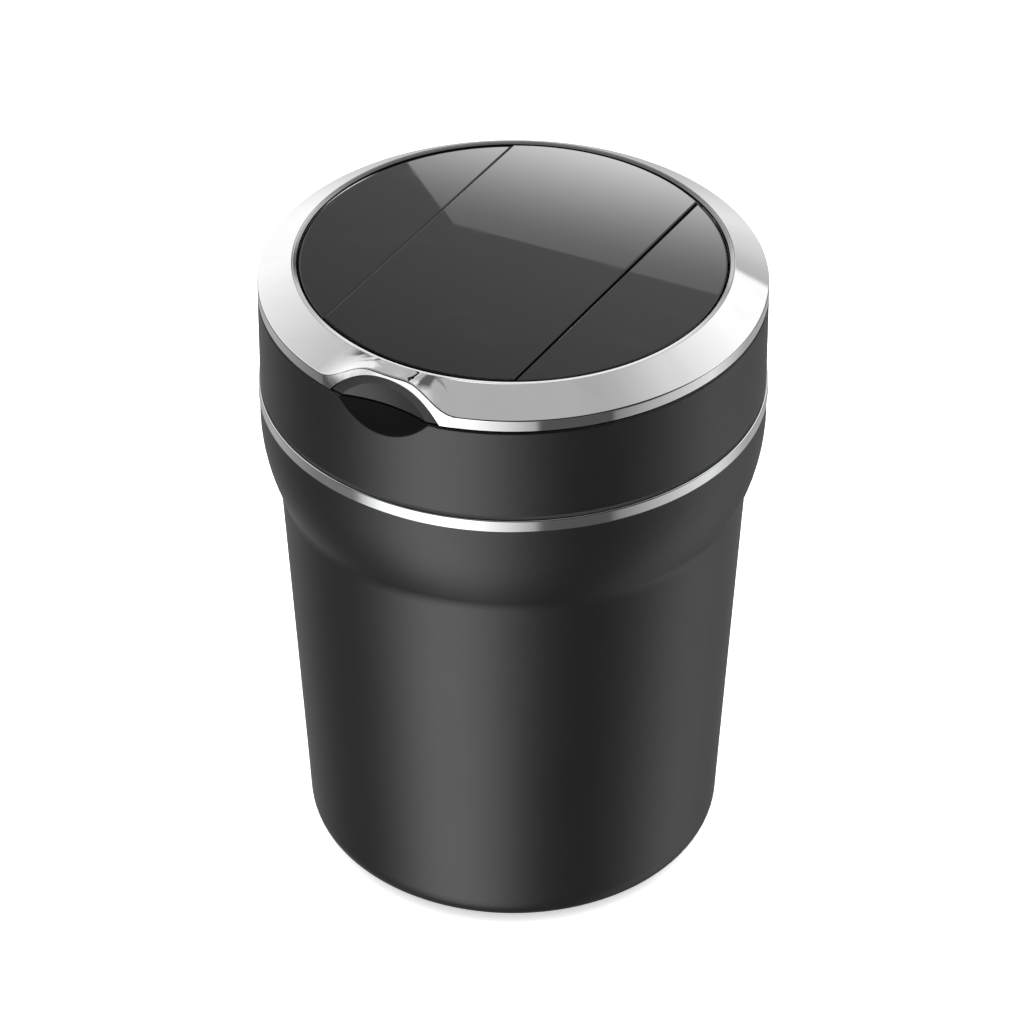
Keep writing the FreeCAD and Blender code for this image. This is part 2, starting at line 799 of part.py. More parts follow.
def make_lid_bezel():
    """Chrome rim of the lid with its raised thumb lip and arch."""
    body = new_body("lid_bezel")
    root_height = crest_height - size.bezel_inner_drop

    def section_at(weight):
        rim = rim_levels(weight)
        return [
            (size.rim_radius - size.bezel_wall, parting),
            (size.rim_radius, parting),
            (rim.outer, rim.edge, size.bezel_edge_round),
            (crest_radius, crest_height, size.bezel_crest_round),
            (bezel_bore, crest_height - size.bezel_lip_drop),
            (bezel_bore, root_height),
            (bezel_root, rim.inner),
            (rim.wall, rim.under),
        ]

    rim_sections(body, "bezel", section_at)
    arch_front = size.rim_radius + size.bezel_wall
    arch = new_sketch(body, "arch_outline", "XZ_Plane", lift=arch_front)
    disc(arch, 0, parting + size.arch_height - size.arch_radius, size.arch_radius)
    before = body.Shape.Volume
    extrude(body, "arch", arch, arch_front - arch_back, kind="Pocket")
    if body.Shape.Volume >= before:
        raise RuntimeError("the thumb arch removed nothing")

    boss_top = screw_seat + size.screw_head_height + size.boss_length
    boss = new_sketch(body, "boss_outline", "XY_Plane", lift=boss_top)
    disc(boss, screw_x, screw_x, size.boss_radius)
    boss_pad = extrude(body, "boss", boss, size.boss_length, Reversed=True)
    pilot = new_sketch(body, "pilot_outline", "XY_Plane", lift=boss_top - size.boss_length)
    disc(pilot, screw_x, screw_x, size.screw_radius + size.press_gap)
    pilot_depth = size.screw_length - size.screw_head_height + size.press_gap
    pilot_cut = extrude(body, "pilot", pilot, pilot_depth, kind="Pocket", Reversed=True)
    around(body, "bosses", [boss_pad, pilot_cut], size.screw_count)
    return body


def add_thumb_tongue(body):
    """Arched tongue that fills the bezel's arch, a little behind its face."""
    centre = parting + size.arch_height - size.arch_radius
    radius = size.arch_radius - size.tongue_gap
    drop = parting - centre
    reach = root(radius * radius - drop * drop)
    arched = new_sketch(body, "tongue_outline", "XZ_Plane", lift=arch_back + size.lid_fit)
    left_end = V(-reach.number, parting.number, 0)
    right_end = V(reach.number, parting.number, 0)
    chord = arched.addGeometry(Part.LineSegment(left_end, right_end))
    circle = Part.Circle(V(0, centre.number, 0), V(0, 0, 1), radius.number)
    lean = math.asin(drop.number / radius.number)
    arc = arched.addGeometry(Part.ArcOfCircle(circle, lean, math.pi - lean))
    constrain(arched, "Coincident", arc, 1, chord, 2)
    constrain(arched, "Coincident", arc, 2, chord, 1)
    locate(arched, chord, 1, -reach, parting)
    locate(arched, arc, 3, 0, centre)
    constrain(arched, "Horizontal", chord)
    extrude(body, "tongue", arched, size.bezel_width)

    past = size.rim_radius + size.bezel_width
    face = new_sketch(body, "tongue_face_section", "XZ_Plane", turn=-90.0)
    outline(face, [
        (size.rim_radius - size.tongue_inset, parting),
        (past, parting),
        (past, parting + size.lip_height),
        (size.rim_radius - size.tongue_inset - size.lip_pull, parting + size.lip_height),
    ])
    before = body.Shape.Volume
    revolve(body, "tongue_face", face, size.notch_sweep, kind="Groove", Midplane=True)
    if body.Shape.Volume >= before:
        raise RuntimeError("the face of the thumb tongue was not trimmed")


def make_lid_pan():
    """Underside of the lid: plate, plug, rim under the bezel, thumb block and knuckles."""
    body = new_body("lid_pan")
    plug_bottom = parting - size.plug_depth
    seal_bottom = parting - size.plug_depth / 2.0 - size.lid_seal_height / 2.0
    seal_seat = throat_bore - size.turn_gap - size.lid_seal_depth
    rim_inner = plug_radius + size.bezel_width / 2.0
    plate = new_sketch(body, "plate_section", "XZ_Plane")
    outline(plate, [
        (0, parting + size.pan_hollow),
        (plug_radius - size.plug_wall, parting + size.pan_hollow),
        (plug_radius - size.plug_wall, plug_bottom),
        (plug_radius, plug_bottom),
        (plug_radius, seal_bottom),
        (seal_seat, seal_bottom),
        (seal_seat, seal_bottom + size.lid_seal_height),
        (plug_radius, seal_bottom + size.lid_seal_height),
        (plug_radius, parting),
        (rim_inner + size.panel_gap, parting),
        (rim_inner + size.panel_gap, panel_seat),
        (0, panel_seat),
    ])
    revolve(body, "plate_turned", plate)

    def section_at(weight):
        rim = rim_levels(weight)
        step = bezel_bore + size.lid_fit
        return [
            (rim_inner, parting),
            (size.rim_radius - size.bezel_wall - size.lid_fit, parting),
            (rim.wall - size.lid_fit, rim.under - size.lid_fit),
            (bezel_root, rim.inner - size.lid_fit),
            (step, crest_height - size.bezel_inner_drop - size.lid_fit),
            (step, panel_seat),
            (rim_inner, panel_seat),
        ]

    rim_sections(body, "pan", section_at)
    add_thumb_tongue(body)
    cut_dish(body, -size.lid_dish_drop)

    ear_bay = hinge_disc(body, "ear_bay_outline", bay_radius, lift=ear_inner - size.knuckle_gap / 2.0)
    ear_room = size.knuckle_width + size.knuckle_gap
    ear_cut = extrude(body, "ear_bay", ear_bay, ear_room, kind="Pocket", Reversed=True)
    mirror(body, "ear_bays", [ear_cut])
    spring_bay = hinge_disc(body, "spring_bay_outline", bay_radius)
    extrude(body, "spring_bay", spring_bay, size.knuckle_inner * 2.0, kind="Pocket", SideType="Symmetric")
    knuckle = hinge_disc(body, "knuckle_outline", size.knuckle_radius, lift=size.knuckle_inner)
    knuckle_pad = extrude(body, "knuckle", knuckle, size.knuckle_width)
    mirror(body, "knuckles", [knuckle_pad])
    bore = hinge_disc(body, "knuckle_bore_outline", size.pin_radius + size.pin_fit)
    extrude(body, "knuckle_bore", bore, ear_inner * 2.0, kind="Pocket", SideType="Symmetric")

    pocket_floor = screw_seat + size.screw_head_height - size.lid_fit
    pocket = new_sketch(body, "boss_pocket_outline", "XY_Plane", lift=pocket_floor)
    disc(pocket, screw_x, screw_x, size.boss_radius + size.lid_fit)
    pocket_cut = extrude(body, "boss_pocket", pocket, size.bezel_rise, kind="Pocket", Reversed=True)
    sink = new_sketch(body, "head_sink_outline", "XY_Plane", lift=screw_seat)
    disc(sink, screw_x, screw_x, size.screw_head_radius + size.lid_fit)
    sink_cut = extrude(body, "head_sink", sink, size.bezel_rise, kind="Pocket")
    through = new_sketch(body, "screw_way_outline", "XY_Plane", lift=panel_seat)
    disc(through, screw_x, screw_x, size.screw_radius + size.lid_fit)
    through_cut = extrude(body, "screw_way", through, size.bezel_rise, kind="Pocket")
    around(body, "screw_ways", [pocket_cut, sink_cut, through_cut], size.screw_count)
    return body


def make_lid_seal():
    """Soft ring round the plug of the lid."""
    outer = throat_bore - size.turn_gap
    inner = outer - size.lid_seal_depth
    bottom = parting - size.plug_depth / 2.0 - size.lid_seal_height / 2.0
    top = bottom + size.lid_seal_height
    return turned_piece("lid_seal", [
        (inner + size.press_gap, bottom + size.press_gap),
        (outer, bottom + size.press_gap, size.lid_seal_round),
        (outer, top - size.press_gap, size.lid_seal_round),
        (inner + size.press_gap, top - size.press_gap),
    ])


def make_lid_screws():
    """Screws that hold the pan to the bezel."""
    body = new_body("lid_screws")
    body.AllowCompound = True
    head = new_sketch(body, "head_outline", "XY_Plane", lift=screw_seat)
    disc(head, screw_x, screw_x, size.screw_head_radius)
    head_pad = extrude(body, "screw_head", head, size.screw_head_height, Reversed=True)
    shank = new_sketch(body, "shank_outline", "XY_Plane", lift=screw_seat)
    disc(shank, screw_x, screw_x, size.screw_radius)
    shank_pad = extrude(body, "screw_shank", shank, size.screw_length)
    around(body, "screws", [head_pad, shank_pad], size.screw_count)
    return body


def panel_outline(sketch, left, right):
    """Disc of the lid's top between two straight lines; a line past the edge is left out."""
    radius = panel_radius.number
    cuts = [cut for cut in (left, right) if cut is not None]
    lines = []
    for cut in cuts:
        reach = math.sqrt(radius * radius - cut.number * cut.number)
        line = sketch.addGeometry(Part.LineSegment(V(cut.number, -reach, 0), V(cut.number, reach, 0)))
        constrain(sketch, "Vertical", line)
        constrain(sketch, "DistanceX", -1, 1, line, 1, cut)
        lines.append(line)
    circle = Part.Circle(V(0, 0, 0), V(0, 0, 1), radius)
    lean = [math.acos(cut.number / radius) for cut in cuts]
    if left is not None and right is not None:
        spans = [(lean[1], lean[0], (1, 2), (0, 2)), (-lean[0], -lean[1], (0, 1), (1, 1))]
    elif left is not None:
        spans = [(-lean[0], lean[0], (0, 1), (0, 2))]
    else:
        spans = [(lean[0], 2 * math.pi - lean[0], (0, 2), (0, 1))]
    for low, high, first, last in spans:
        arc = sketch.addGeometry(Part.ArcOfCircle(circle, low, high))
        constrain(sketch, "Coincident", arc, 3, -1, 1)
        constrain(sketch, "Coincident", arc, 1, lines[first[0]], first[1])
        constrain(sketch, "Coincident", arc, 2, lines[last[0]], last[1])
        if arc == len(lines):
            constrain(sketch, "Radius", arc, panel_radius)


def make_panel(name, left, right, thickness):
    """Gloss panel of the lid's top with softened upper edges."""
    body = new_body(name)
    sketch = new_sketch(body, f"{name}_outline", "XY_Plane", lift=panel_seat)
    panel_outline(sketch, left, right)
    plate = extrude(body, f"{name}_plate", sketch, thickness)
    top = (panel_seat + thickness).number
    edges = []
    for index, edge in enumerate(plate.Shape.Edges, start=1):
        if abs(edge.BoundBox.ZMin - top) < 1e-6:
            edges.append(f"Edge{index}")
    soft = body.newObject("PartDesign::Fillet", f"{name}_soft")
    soft.Base = (plate, edges)
    bind(soft, "Radius", size.panel_round)
    finish(body, soft)
    return body


def make_panels():
    """Raised centre strip and the two lower side segments."""
    half = size.centre_half_width
    side = half + size.panel_joint
    return [
        make_panel("lid_centre_panel", -half, half, size.centre_thickness),
        make_panel("lid_left_panel", None, -side, size.side_thickness),
        make_panel("lid_right_panel", side, None, size.side_thickness),
    ]


pieces = [
    make_cup_shell(),
    make_ash_liner(),
    make_base_pad(),
    make_mouth_seal(),
    make_trim_ring(),
    make_collar(),
    make_throat(),
    make_snuffer_tray(),
    make_hinge_pin(),
    make_hinge_spring(),
    make_lid_bezel(),
    make_lid_pan(),
    make_lid_seal(),
    make_lid_screws(),
]
pieces.extend(make_panels())
doc.recompute()

for item in doc.Objects:
    if "Invalid" in item.State or "Error" in item.State:
        raise RuntimeError(f"{item.Name} did not build: {item.State}")
for piece in pieces:
    if piece.Shape.isNull() or not piece.Shape.isValid():
        raise RuntimeError(f"{piece.Label} has no valid shape")

os.makedirs("parts", exist_ok=True)
for piece in pieces:
    piece.Shape.exportStep(f"parts/{piece.Label}.step")
    box = piece.Shape.BoundBox
    print(f"{piece.Label}: {len(piece.Shape.Solids)} solid, {piece.Shape.Volume:.1f} mm3, "
          f"z {box.ZMin:.2f} to {box.ZMax:.2f}")
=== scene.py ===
import json
import math

import bmesh
import bpy
from bpy.props import FloatProperty, FloatVectorProperty, IntProperty, PointerProperty
from bpy.types import Operator, Panel, PropertyGroup
from mathutils import Matrix, Vector


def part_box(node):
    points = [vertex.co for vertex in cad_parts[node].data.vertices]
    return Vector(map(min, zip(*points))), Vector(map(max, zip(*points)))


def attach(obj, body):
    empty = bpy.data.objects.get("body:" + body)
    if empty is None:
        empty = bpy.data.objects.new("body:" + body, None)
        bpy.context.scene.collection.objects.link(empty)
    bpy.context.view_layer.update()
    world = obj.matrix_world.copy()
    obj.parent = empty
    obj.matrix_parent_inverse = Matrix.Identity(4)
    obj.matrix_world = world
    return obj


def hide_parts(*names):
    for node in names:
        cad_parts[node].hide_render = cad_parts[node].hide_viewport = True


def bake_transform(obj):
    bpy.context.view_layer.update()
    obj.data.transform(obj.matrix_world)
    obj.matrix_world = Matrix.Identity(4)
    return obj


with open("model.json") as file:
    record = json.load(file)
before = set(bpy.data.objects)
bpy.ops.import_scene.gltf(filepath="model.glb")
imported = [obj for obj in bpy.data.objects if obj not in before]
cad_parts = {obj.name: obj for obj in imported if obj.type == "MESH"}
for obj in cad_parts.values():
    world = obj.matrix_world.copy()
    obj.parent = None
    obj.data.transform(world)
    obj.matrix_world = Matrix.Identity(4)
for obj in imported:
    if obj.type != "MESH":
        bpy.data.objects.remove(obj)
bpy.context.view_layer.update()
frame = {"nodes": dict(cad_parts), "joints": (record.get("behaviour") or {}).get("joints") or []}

bl_info = {
    "name": "Car ashtray",
    "version": (1, 0, 0),
    "blender": (4, 5, 0),
    "location": "3D View > Sidebar > Ashtray",
    "description": "Finishes, hinge spring, screws, turned trim and studio for a lidded car ashtray",
    "category": "Object",
}

NODES = frame["nodes"]
HINGE = next(joint for joint in frame["joints"] if joint["name"] == "lid_hinge")
HINGE_POINT = Vector(HINGE["pos_m"])
PANELS = ("lid_centre_panel", "lid_left_panel", "lid_right_panel")

SPRING_LEG_STEPS = 6
SPRING_TURN_STEPS = 28
SHARP_ANGLE = math.radians(30.0)
MERGE_DISTANCE = 1e-7
SENSOR_WIDTH_MM = 36.0

# Brightness round the foot, as (degrees from the camera's side, level). The trim's
# narrow faces mirror the first, and the satin walls blur the second.
TRIM_BANDS = (
    (-180, 0.42), (-136, 0.43), (-100, 0.2), (-76, 0.18), (-71, 0.7), (-62, 1.2), (-20, 1.2),
    (0, 0.68), (10, 0.42), (12, 0.09), (45, 0.09), (47, 0.25), (100, 0.84), (130, 0.4), (180, 0.44),
)
WALL_BANDS = (
    (-180, 0.55), (-150, 0.5), (-120, 0.15), (-80, 0.09), (-66, 0.34), (-54, 1.95), (-42, 2.8),
    (-20, 2.25), (-8, 1.6), (4, 0.45), (16, 0.1), (60, 0.11), (100, 1.05), (120, 0.5), (150, 0.16),
    (180, 0.55),
)


def colour_property(name, description, default):
    """A colour that the user can change."""
    return FloatVectorProperty(name=name, description=description, subtype="COLOR", size=3,
                               default=default, min=0.0, max=1.0)


def length_property(name, description, default):
    """A length in metres that the user can change."""
    return FloatProperty(name=name, description=description, default=default, min=0.0,
                         unit="LENGTH", precision=5)


def share_property(name, description, default):
    """A share between nothing and all."""
    return FloatProperty(name=name, description=description, default=default, min=0.0, max=1.0,
                         subtype="FACTOR")


def level_property(name, description, default):
    """A brightness or a factor that the user can change."""
    return FloatProperty(name=name, description=description, default=default, min=0.0)


def angle_property(name, description, degrees):
    """An angle that the user can change."""
    return FloatProperty(name=name, description=description, default=math.radians(degrees),
                         subtype="ANGLE")


class AshtrayFinish(PropertyGroup):
    """Colours and gloss of the ashtray's materials."""

    satin_colour: colour_property("Satin black", "Paint of the cup and the collar",
                                  (0.0025, 0.0025, 0.0027))
    satin_roughness: share_property("Satin roughness", "Roughness of the cup and the collar", 0.41)
    satin_specular: share_property("Satin specular", "Mirror strength of the cup and the collar", 0.75)
    dish_centre: FloatVectorProperty(name="Dish centre", description="Centre of the collar's thumb scoop",
                                     subtype="TRANSLATION", size=3, precision=5,
                                     default=(0.0, -0.0624, 0.1132))
    dish_radius: length_property("Dish radius", "Radius of the collar's thumb scoop", 0.026708)
    dish_margin: length_property("Dish margin", "How near the scoop's radius counts as the dish", 0.00012)
    # Painted shade: the dish's low mirror strength and flat tone stand in for the shade in the thumb
    # hollow.
    dish_shade_specular: share_property("Dish specular", "Mirror strength of the thumb dish", 0.1)
    dish_shade_tone: level_property("Dish tone", "Dish's colour as a multiple of the satin black", 1.2)
    inner_colour: colour_property("Inner black", "Moulding under the lid and in the throat",
                                  (0.016, 0.016, 0.017))
    gloss_colour: colour_property("Gloss black", "Panels of the lid", (0.006, 0.006, 0.0068))
    gloss_roughness: share_property("Gloss roughness", "Roughness of the panels", 0.012)
    gloss_smear: share_property("Gloss smear", "Roughness that handling adds to the panels", 0.012)
    gloss_ior: level_property("Gloss index", "Refractive index of the panels", 1.55)
    chrome_colour: colour_property("Chrome", "Plating of the bezel and the trim ring",
                                   (0.865, 0.865, 0.868))
    chrome_roughness: share_property("Chrome roughness", "Roughness of the plating", 0.06)
    chrome_smear: share_property("Chrome smear", "Roughness that handling adds to the plating", 0.025)
    steel_colour: colour_property("Drawn steel", "Liner and snuffer tray", (0.5, 0.495, 0.48))
    hardware_colour: colour_property("Hardware", "Hinge pin, spring and screws", (0.46, 0.46, 0.47))
    rubber_colour: colour_property("Rubber", "Pad and seals", (0.014, 0.014, 0.0145))


class AshtraySpring(PropertyGroup):
    """Sizes of the hinge spring and the lid's screws."""

    wire_radius: length_property("Wire radius", "Half the thickness of the spring's wire", 0.0003)
    coil_radius: length_property("Coil radius", "From the hinge axis to the middle of the wire", 0.00165)
    coil_length: length_property("Coil length", "Along the hinge axis", 0.0044)
    turns: IntProperty(name="Turns", description="Turns of the coil", default=4, min=1, max=12)
    throat_leg: length_property("Throat leg", "Leg that goes down into the throat", 0.0026)
    lid_leg: length_property("Lid leg", "Leg that goes up under the lid", 0.0013)
    screw_head_radius: length_property("Screw head radius", "Radius of the lid's screw heads", 0.0017)
    screw_flat_share: share_property("Screw flat", "Flat of a screw head as a share of its radius", 0.86)
    screw_edge: length_property("Screw edge", "Height of the slope round a screw head", 0.0002)
    screw_head_height: length_property("Screw head height", "Thickness of the lid's screw heads", 0.0006)
    screw_radius: length_property("Screw radius", "Radius of the screws' shanks", 0.00075)
    screw_length: length_property("Screw length", "Whole length of a screw", 0.0023)
    recess_depth: length_property("Recess depth", "Depth of the cross in the screw heads", 0.0004)
    recess_reach: share_property("Recess reach", "Length of the cross's arm as a share of the head", 0.62)
    recess_half: share_property("Recess half", "Half the arm's width as a share of the head", 0.17)


class AshtrayTrim(PropertyGroup):
    """Sizes of the turned trim."""

    ring_depth: length_property("Ring depth", "From the trim ring's face to its bore", 0.00185)
    ring_round: length_property("Ring round", "Round of the trim ring's edges", 0.0002)
    flat_margin: length_property("Flat margin", "Strip that keeps the ring's face flat beside its rounds",
                                 0.00002)
    skirt_inset: length_property("Skirt inset", "How far the strip stands back from the collar", 0.000005)
    skirt_depth: length_property("Skirt depth", "Thickness of the strip under the collar's edge", 0.0003)
    skirt_height: length_property("Skirt height", "Height of the strip under the collar's edge", 0.00058)
    skirt_gap: length_property("Skirt gap", "Space between the strip and the trim ring", 0.00006)
    crest_radius: length_property("Crest radius", "Inner radius of the land on the bezel's crest", 0.03387)
    crest_height: length_property("Crest height", "Height of the land's inner edge", 0.107638)
    crest_width: length_property("Crest width", "Width of the land on the bezel's crest", 0.00075)
    crest_depth: length_property("Crest depth", "How far the land goes down into the bezel", 0.00045)
    crest_tilt: angle_property("Crest tilt", "Slope of the land down towards the panels", 10.0)
    sides: IntProperty(name="Sides", description="Sides of the turned trim", default=288, min=24, max=512)


class AshtrayStage(PropertyGroup):
    """Camera and light of the studio."""

    azimuth: angle_property("Azimuth", "Camera's turn from the thumb notch", 30.2)
    elevation: angle_property("Elevation", "Camera's height above the horizon", 35.71)
    distance: length_property("Distance", "From the camera to the point it looks at", 0.89505)
    target_height: length_property("Target height", "Height of the point the camera looks at", 0.05915)
    lens: FloatProperty(name="Lens", description="Focal length in millimetres", default=195.57, min=1.0)
    shift: FloatProperty(name="Shift", description="Sideways shift of the picture", default=-0.0013)
    floor_colour: colour_property("Floor", "Pale floor", (0.92, 0.92, 0.92))
    floor_reach: length_property("Floor reach", "From the middle of the floor to its sides", 6.0)
    floor_glow: level_property("Floor glow", "Light of the floor's own, as on a light table", 0.6)
    sky_strength: level_property("Sky", "Strength of the studio's dome", 1.0)
    crown_level: level_property("Crown", "Brightness straight above", 0.48)
    front_level: level_property("Front", "Brightness on the camera's side", 0.02)
    over_level: level_property("Over", "Brightness above the light behind the ashtray", 0.12)
    side_level: level_property("Side", "Brightness low down at the sides", 0.08)
    strip_level: level_property("Strip", "Brightness of the strip that the thumb arch mirrors", 1.15)
    key_power: level_property("Key light", "Power of the overhead light in watts", 60.0)
    key_size: length_property("Key size", "Width of the overhead light", 3.0)
    key_height: length_property("Key height", "Height of the overhead light", 1.3)
    box_distance: length_property("Box distance", "How far the light box stands behind the ashtray", 0.45)
    box_offset: length_property("Box offset", "How far its upper corner stands to the left", 0.0149)
    box_height: length_property("Box height", "Height of the light box's upper left corner", 0.3908)
    box_width: length_property("Box width", "Length of the light box's upper edge", 0.1)
    box_depth: length_property("Box depth", "From the light box's upper edge to its lower edge", 0.046)
    box_flare: level_property("Box flare", "Spread of its lower left corner for each unit of depth", 1.15)
    box_slope: angle_property("Box slope", "Slope of the light box's upper edge", 17.3)
    box_fade: length_property("Box fade", "Depth over which the light box grows brighter", 0.033)
    box_fade_power: level_property("Fade power", "How late the light box grows brighter", 1.8)
    box_rim_glow: level_property("Rim glow", "Brightness of the light box's upper edge", 1.3)
    box_glow: level_property("Box glow", "Brightness of the light box's lower part", 7.8)


class NodeTree:
    """Adds nodes to a tree and wires their sockets."""

    def __init__(self, tree):
        self.tree = tree

    def add(self, kind, inputs=None, **settings):
        node = self.tree.nodes.new(kind)
        for name, value in settings.items():
            setattr(node, name, value)
        for name, value in (inputs or {}).items():
            self.feed(node.inputs[name], value)
        return node

    def feed(self, socket, value):
        if isinstance(value, bpy.types.NodeSocket):
            self.tree.links.new(value, socket)
        else:
            socket.default_value = value

    def math(self, operation, *values):
        node = self.tree.nodes.new("ShaderNodeMath")
        node.operation = operation
        for index, value in enumerate(values):
            self.feed(node.inputs[index], value)
        return node.outputs[0]

    def product(self, *values):
        """Multiplies values one after another."""
        result = values[0]
        for value in values[1:]:
            result = self.math("MULTIPLY", result, value)
        return result

    def mix(self, factor, first, second):
        """Blends two values."""
        node = self.tree.nodes.new("ShaderNodeMix")
        for name, value in (("Factor", factor), ("A", first), ("B", second)):
            self.feed(node.inputs[name], value)
        return node.outputs["Result"]

    def spread(self, value, low, high, to_low=0.0, to_high=1.0, smooth=False):
        """Maps a value from one range onto another, held at its ends."""
        node = self.add("ShaderNodeMapRange", clamp=True,
                        interpolation_type="SMOOTHSTEP" if smooth else "LINEAR")
        for name, number in (("Value", value), ("From Min", low), ("From Max", high),
                             ("To Min", to_low), ("To Max", to_high)):
            self.feed(node.inputs[name], number)
        return node.outputs["Result"]


def new_group(name, inputs, outputs):
    """Empty shader group with value sockets."""
    tree = bpy.data.node_groups.new(name, "ShaderNodeTree")
    for label, default in inputs:
        socket = tree.interface.new_socket(label, in_out="INPUT", socket_type="NodeSocketFloat")
        socket.default_value = default
    for label in outputs:
        tree.interface.new_socket(label, in_out="OUTPUT", socket_type="NodeSocketFloat")
    nodes = NodeTree(tree)
    source = nodes.add("NodeGroupInput").outputs
    target = nodes.add("NodeGroupOutput").inputs
    return nodes, source, target


def grain_group():
    """Fine grain of moulded and painted plastic, with slow changes of gloss."""
    name = "Moulded grain"
    if name in bpy.data.node_groups:
        return bpy.data.node_groups[name]
    inputs = [("Scale", 4000.0), ("Roughness", 0.4), ("Change", 0.06)]
    nodes, source, target = new_group(name, inputs, ["Height", "Roughness", "Shade"])
    place = nodes.add("ShaderNodeTexCoord").outputs["Object"]
    fine = nodes.add("ShaderNodeTexNoise", {"Vector": place, "Scale": source["Scale"], "Detail": 3.0})
    slow = nodes.add("ShaderNodeTexNoise", {"Vector": place, "Scale": 55.0, "Detail": 4.0})
    centred = nodes.math("SUBTRACT", slow.outputs["Fac"], 0.5)
    change = nodes.math("MULTIPLY", centred, source["Change"])
    speckle = nodes.math("SUBTRACT", fine.outputs["Fac"], 0.5)
    sparkle = nodes.math("MULTIPLY", speckle, source["Change"])
    both = nodes.math("ADD", change, sparkle)
    nodes.feed(target["Height"], fine.outputs["Fac"])
    nodes.feed(target["Roughness"], nodes.math("ADD", source["Roughness"], both))
    nodes.feed(target["Shade"], nodes.spread(slow.outputs["Fac"], 0.3, 0.7))
    return nodes.tree


def handling_group():
    """Faint smears left by fingers and cloths on polished surfaces."""
    name = "Handling"
    if name in bpy.data.node_groups:
        return bpy.data.node_groups[name]
    inputs = [("Roughness", 0.05), ("Smear", 0.04)]
    nodes, source, target = new_group(name, inputs, ["Roughness", "Mask"])
    place = nodes.add("ShaderNodeTexCoord").outputs["Object"]
    stretch = nodes.add("ShaderNodeMapping", {
        "Vector": place, "Rotation": (0.2, 0.1, 0.7), "Scale": (1.0, 3.0, 2.0)})
    smear = nodes.add("ShaderNodeTexNoise", {
        "Vector": stretch.outputs[0], "Scale": 70.0, "Detail": 5.0, "Distortion": 0.8})
    mask = nodes.spread(smear.outputs["Fac"], 0.5, 0.75, smooth=True)
    nodes.feed(target["Mask"], mask)
    added = nodes.math("MULTIPLY", mask, source["Smear"])
    nodes.feed(target["Roughness"], nodes.math("ADD", source["Roughness"], added))
    return nodes.tree


def turning_group():
    """Fine lines that drawing and polishing leave round the axis."""
    name = "Turned lines"
    if name in bpy.data.node_groups:
        return bpy.data.node_groups[name]
    inputs = [("Lines", 9000.0), ("Roughness", 0.3), ("Change", 0.1)]
    nodes, source, target = new_group(name, inputs, ["Height", "Roughness"])
    place = nodes.add("ShaderNodeTexCoord").outputs["Object"]
    parts = nodes.add("ShaderNodeSeparateXYZ", {"Vector": place}).outputs
    squares = nodes.math("ADD", nodes.math("MULTIPLY", parts["X"], parts["X"]),
                         nodes.math("MULTIPLY", parts["Y"], parts["Y"]))
    radius = nodes.math("SQRT", squares)
    across = nodes.math("MULTIPLY", radius, source["Lines"])
    upward = nodes.math("MULTIPLY", parts["Z"], source["Lines"])
    along = nodes.math("MULTIPLY", nodes.math("ARCTAN2", parts["Y"], parts["X"]), 3.0)
    path = nodes.add("ShaderNodeCombineXYZ", {"X": across, "Y": upward, "Z": along})
    lines = nodes.add("ShaderNodeTexNoise", {"Vector": path.outputs[0], "Scale": 1.0, "Detail": 2.0})
    centred = nodes.math("SUBTRACT", lines.outputs["Fac"], 0.5)
    change = nodes.math("MULTIPLY", centred, source["Change"])
    nodes.feed(target["Height"], lines.outputs["Fac"])
    nodes.feed(target["Roughness"], nodes.math("ADD", source["Roughness"], change))
    return nodes.tree


def new_material(name):
    """Empty material with its shader and output in place."""
    material = bpy.data.materials.new(name)
    material.use_nodes = True
    material.node_tree.nodes.clear()
    nodes = NodeTree(material.node_tree)
    shader = nodes.add("ShaderNodeBsdfPrincipled")
    nodes.add("ShaderNodeOutputMaterial", {"Surface": shader.outputs[0]})
    return material, nodes, shader


def two_tones(nodes, mask, dark, light):
    """Colour that drifts between two tones."""
    blend = nodes.add("ShaderNodeMix", data_type="RGBA")
    nodes.feed(blend.inputs["Factor"], mask)
    blend.inputs["A"].default_value = (*dark, 1.0)
    blend.inputs["B"].default_value = (*light, 1.0)
    return blend.outputs["Result"]


def scaled(colour, factor):
    """Lighter or darker tone of a colour."""
    return tuple(min(1.0, channel * factor) for channel in colour)


def relief(nodes, shader, height, distance):
    """Small relief on the shader's normal."""
    bump = nodes.add("ShaderNodeBump", {"Height": height, "Distance": distance, "Strength": 1.0})
    nodes.feed(shader.inputs["Normal"], bump.outputs[0])


def moulded_material(name, colour, roughness, grain_scale, depth, change):
    """Painted or moulded black plastic with a fine grain."""
    material, nodes, shader = new_material(name)
    grain = nodes.add("ShaderNodeGroup", node_tree=grain_group())
    grain.inputs["Scale"].default_value = grain_scale
    grain.inputs["Roughness"].default_value = roughness
    grain.inputs["Change"].default_value = change
    tones = two_tones(nodes, grain.outputs["Shade"], scaled(colour, 0.9), scaled(colour, 1.1))
    nodes.feed(shader.inputs["Base Color"], tones)
    nodes.feed(shader.inputs["Roughness"], grain.outputs["Roughness"])
    relief(nodes, shader, grain.outputs["Height"], depth)
    return material, shader


def gloss_material(finish):
    """Polished black of the lid's panels."""
    material, nodes, shader = new_material("gloss_black")
    marks = nodes.add("ShaderNodeGroup", node_tree=handling_group())
    marks.inputs["Roughness"].default_value = finish.gloss_roughness
    marks.inputs["Smear"].default_value = finish.gloss_smear
    dark = tuple(finish.gloss_colour)
    tones = two_tones(nodes, marks.outputs["Mask"], dark, scaled(dark, 1.3))
    nodes.feed(shader.inputs["Base Color"], tones)
    nodes.feed(shader.inputs["Roughness"], marks.outputs["Roughness"])
    shader.inputs["IOR"].default_value = finish.gloss_ior
    return material


